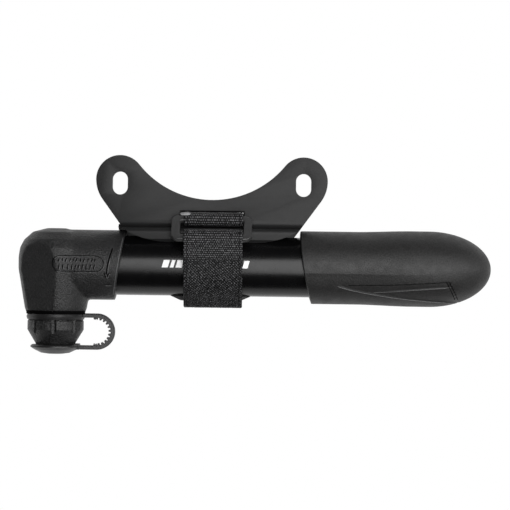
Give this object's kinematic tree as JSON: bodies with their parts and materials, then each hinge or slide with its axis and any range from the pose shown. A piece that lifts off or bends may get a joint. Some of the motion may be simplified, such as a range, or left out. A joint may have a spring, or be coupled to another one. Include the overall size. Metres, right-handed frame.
{
  "type": "mini bicycle pump",
  "caption": "Hand pump with an angled twist-lock valve head, capped nozzle and hollow sliding handle, held by a hook-and-loop strap in a slotted frame bracket.",
  "frame": {"origin": "midway between the bracket's two bolt slots, on the seat face that meets the frame bosses", "axes": "+X along the barrel towards the handle, +Y away from the barrel in the bracket's plane, +Z away from the bicycle frame, the way the strap's tail faces"},
  "size_m": [0.165, 0.0696, 0.0279],
  "materials": {
    "anodised_black": "gloss anodised",
    "bare_aluminium": "drawn",
    "steel": "zinc plated",
    "shell_plastic": "fine spark texture",
    "bracket_plastic": "satin",
    "grip_rubber": "matte soft touch",
    "inner_plastic": "moulded",
    "white_acetal": "turned",
    "seal_rubber": "smooth",
    "cap_rubber": "satin",
    "webbing": "nylon loop pile",
    "felt": "felt",
    "buckle_plastic": "satin moulded"
  },
  "bodies": {
    "pump_body": {"barrel_tube": "anodised_black", "cam_spindle": "white_acetal", "spindle_o_ring": "seal_rubber", "check_valve": "seal_rubber", "rod_guide": "inner_plastic", "rod_wiper": "felt", "bracket": "bracket_plastic", "strap_band": "webbing", "buckle_ring": "buckle_plastic"},
    "pump_head": {"head_shell": "shell_plastic", "head_retaining_ring": "steel", "nozzle_nut": "shell_plastic", "valve_gland": "seal_rubber"},
    "plunger": {"valve_plunger": "white_acetal", "plunger_o_ring": "seal_rubber", "gland_washer": "bare_aluminium"},
    "cap_collar": {"cap_ring": "cap_rubber", "cap_tether": "cap_rubber"},
    "cap": {"dust_cap": "cap_rubber"},
    "piston": {"piston_head": "white_acetal", "piston_seal": "seal_rubber"},
    "handle": {"piston_rod": "bare_aluminium", "piston_screw": "steel", "handle_core": "inner_plastic", "handle_grip": "grip_rubber", "anchor_screw": "steel", "bumper_ring": "seal_rubber"},
    "strap_end": {"strap_tail": "webbing"}
  },
  "joints": [
    {"name": "pump_stroke", "type": "slide", "parent": "pump_body", "child": "piston", "axis": [1, 0, 0], "range_m": [0, 0.095]},
    {"name": "handle_spin", "type": "hinge", "parent": "piston", "child": "handle", "pos_m": [0.03, -0.02865, 0.0005], "axis": [1, 0, 0], "continuous": true},
    {"name": "head_twist", "type": "hinge", "parent": "pump_body", "child": "pump_head", "pos_m": [-0.04, -0.02865, 0.0005], "axis": [-1, 0, 0], "range_deg": [0, 90]},
    {"name": "plunger_press", "type": "slide", "parent": "pump_head", "child": "plunger", "axis": [0, -1, 0], "range_m": [0, 0.00214], "deforming": ["valve_gland"]},
    {"name": "cap_ring_swivel", "type": "hinge", "parent": "pump_head", "child": "cap_collar", "pos_m": [-0.054, -0.04695, 0.0005], "axis": [0, -1, 0], "continuous": true},
    {"name": "cap_swing", "type": "hinge", "parent": "cap_collar", "child": "cap", "pos_m": [-0.0355, -0.052, 0.0005], "axis": [0, 0, 1], "range_deg": [0, 110], "deforming": ["cap_tether"]},
    {"name": "strap_peel", "type": "hinge", "parent": "pump_body", "child": "strap_end", "pos_m": [0.00095, -0.01941, 0.01461], "axis": [-1, 0, 0], "range_deg": [0, 120]}
  ],
  "couplings": [
    {"joint": "plunger_press", "follows": "head_twist", "m_per_rad": 0.0013505}
  ]
}
